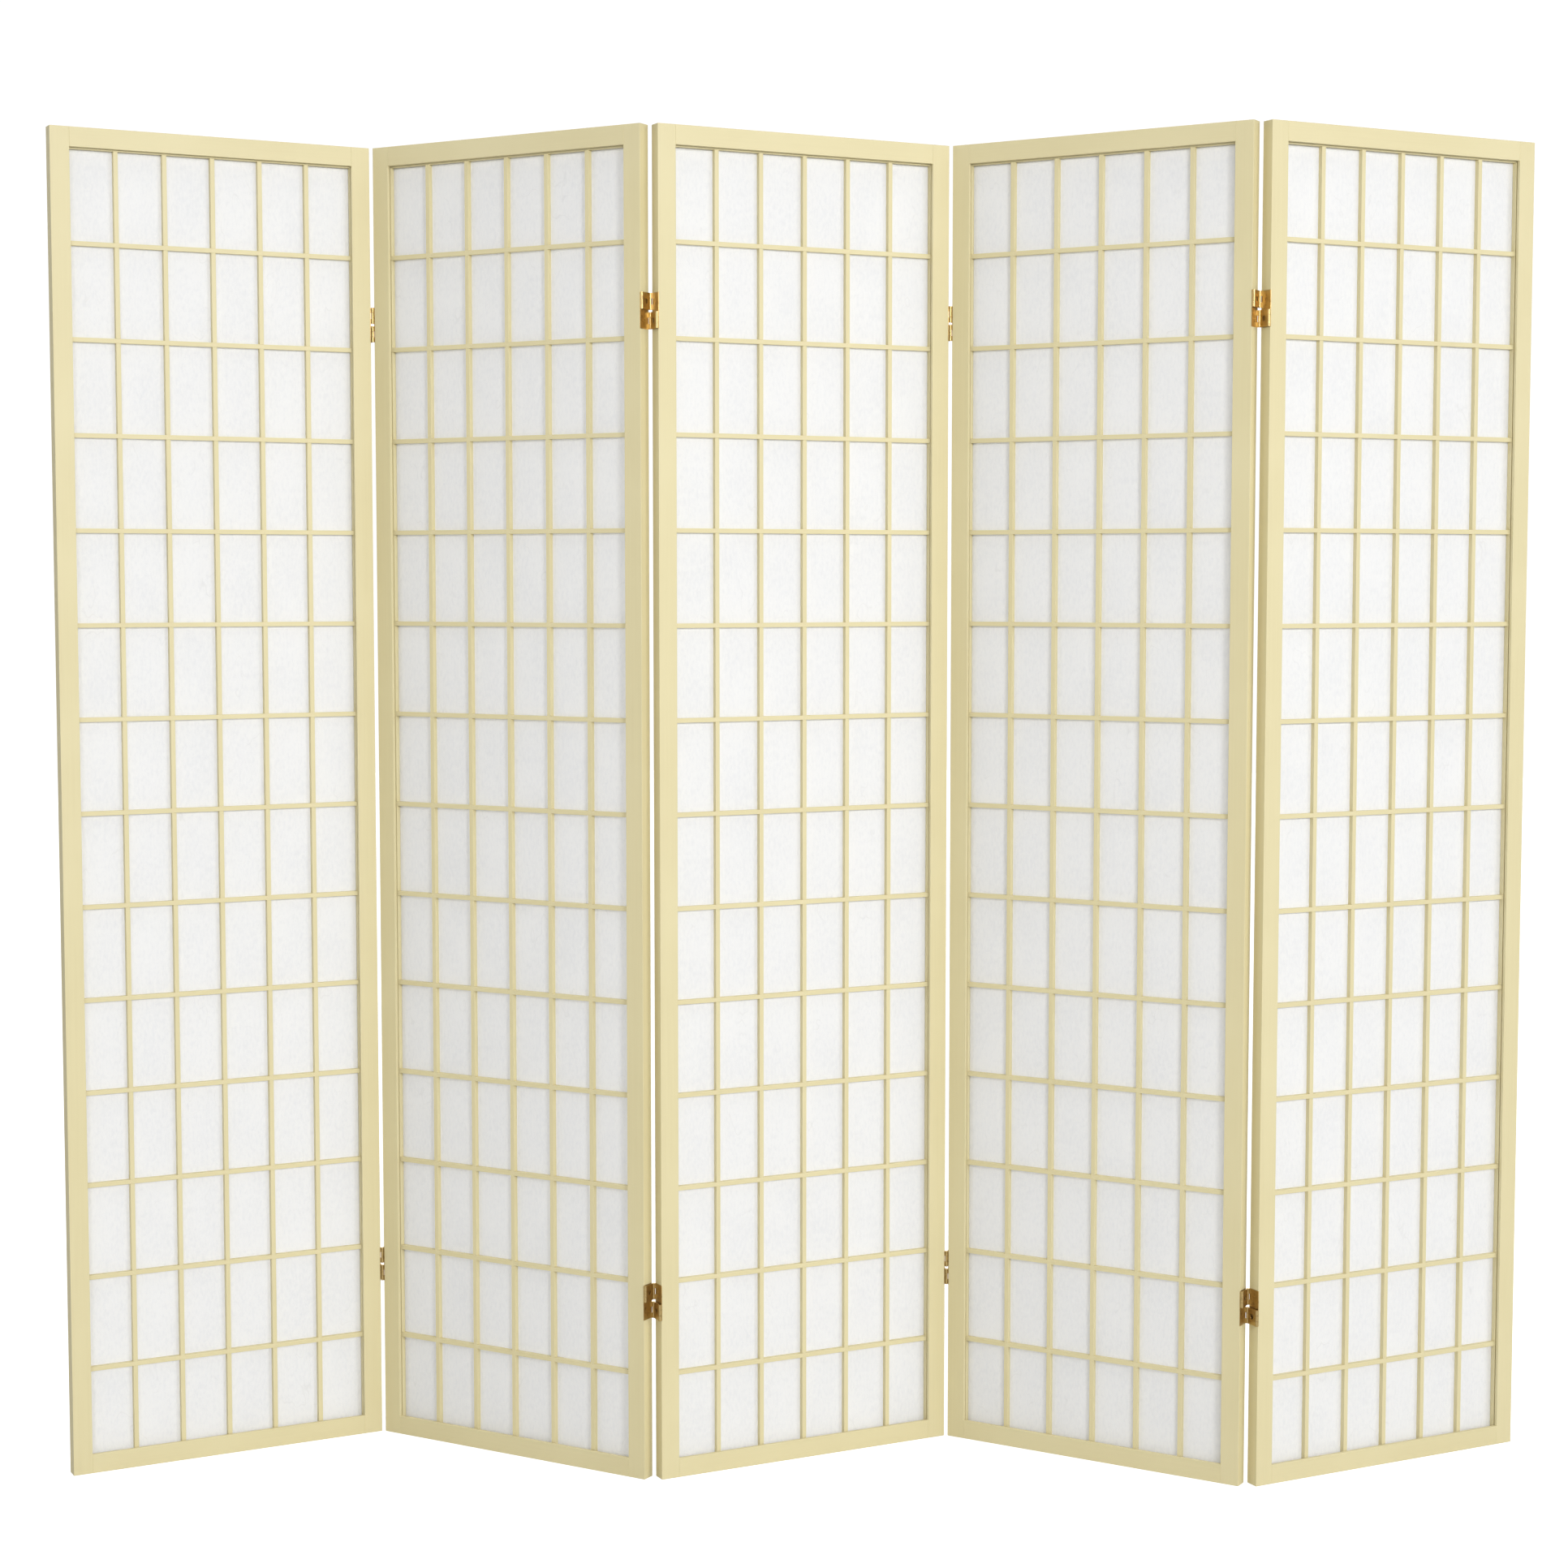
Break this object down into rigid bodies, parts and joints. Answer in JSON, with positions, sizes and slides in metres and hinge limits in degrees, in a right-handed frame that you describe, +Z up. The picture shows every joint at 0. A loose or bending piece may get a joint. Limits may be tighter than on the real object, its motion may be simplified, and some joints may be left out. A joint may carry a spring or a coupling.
{
  "type": "folding shoji screen",
  "caption": "Free-standing folding shoji screen: tall wooden frames with a thin lattice over white paper, joined in a zigzag by small brass two-way hinges.",
  "frame": {"origin": "middle of the footprint's box, on the floor, as the screen stands in its zigzag", "axes": "+X along the row of panels, +Y from the lattice side to the back, +Z up"},
  "size_m": [1.9662, 0.2374, 1.784],
  "materials": {
    "painted_wood": "satin cream paint",
    "shoji_paper": "matt fibrous paper",
    "brass": "polished brass"
  },
  "bodies": {
    "panel_1": {"panel_1_left_stile": "painted_wood", "panel_1_right_stile": "painted_wood", "panel_1_top_rail": "painted_wood", "panel_1_bottom_rail": "painted_wood", "panel_1_upright_bars": "painted_wood", "panel_1_cross_bars": "painted_wood", "panel_1_paper": "shoji_paper", "panel_1_back_beads": "painted_wood", "panel_1_hinge_leaves": "brass", "panel_1_hinge_links": "brass", "panel_1_hinge_pins": "brass", "panel_1_hinge_screws": "brass"},
    "panel_2": {"panel_2_left_stile": "painted_wood", "panel_2_right_stile": "painted_wood", "panel_2_top_rail": "painted_wood", "panel_2_bottom_rail": "painted_wood", "panel_2_upright_bars": "painted_wood", "panel_2_cross_bars": "painted_wood", "panel_2_paper": "shoji_paper", "panel_2_back_beads": "painted_wood", "panel_2_hinge_leaves": "brass", "panel_2_hinge_links": "brass", "panel_2_hinge_pins": "brass", "panel_2_hinge_screws": "brass"},
    "panel_3": {"panel_3_left_stile": "painted_wood", "panel_3_right_stile": "painted_wood", "panel_3_top_rail": "painted_wood", "panel_3_bottom_rail": "painted_wood", "panel_3_upright_bars": "painted_wood", "panel_3_cross_bars": "painted_wood", "panel_3_paper": "shoji_paper", "panel_3_back_beads": "painted_wood", "panel_3_hinge_leaves": "brass", "panel_3_hinge_links": "brass", "panel_3_hinge_pins": "brass", "panel_3_hinge_screws": "brass"},
    "panel_4": {"panel_4_left_stile": "painted_wood", "panel_4_right_stile": "painted_wood", "panel_4_top_rail": "painted_wood", "panel_4_bottom_rail": "painted_wood", "panel_4_upright_bars": "painted_wood", "panel_4_cross_bars": "painted_wood", "panel_4_paper": "shoji_paper", "panel_4_back_beads": "painted_wood", "panel_4_hinge_leaves": "brass", "panel_4_hinge_links": "brass", "panel_4_hinge_pins": "brass", "panel_4_hinge_screws": "brass"},
    "panel_5": {"panel_5_left_stile": "painted_wood", "panel_5_right_stile": "painted_wood", "panel_5_top_rail": "painted_wood", "panel_5_bottom_rail": "painted_wood", "panel_5_upright_bars": "painted_wood", "panel_5_cross_bars": "painted_wood", "panel_5_paper": "shoji_paper", "panel_5_back_beads": "painted_wood", "panel_5_hinge_leaves": "brass", "panel_5_hinge_links": "brass", "panel_5_hinge_pins": "brass", "panel_5_hinge_screws": "brass"}
  },
  "joints": [
    {"name": "fold_1_2", "type": "hinge", "parent": "panel_2", "child": "panel_1", "pos_m": [-0.59306, 0.09753, 0.892], "axis": [0, 0, 1], "range_deg": [-57.8, 121.2]},
    {"name": "fold_2_3", "type": "hinge", "parent": "panel_3", "child": "panel_2", "pos_m": [-0.19724, -0.09341, 0.892], "axis": [0, 0, -1], "range_deg": [-57, 118]},
    {"name": "fold_3_4", "type": "hinge", "parent": "panel_3", "child": "panel_4", "pos_m": [0.19792, 0.09891, 0.892], "axis": [0, 0, -1], "range_deg": [-58, 117]},
    {"name": "fold_4_5", "type": "hinge", "parent": "panel_4", "child": "panel_5", "pos_m": [0.59035, -0.09891, 0.892], "axis": [0, 0, 1], "range_deg": [-58, 121]}
  ]
}
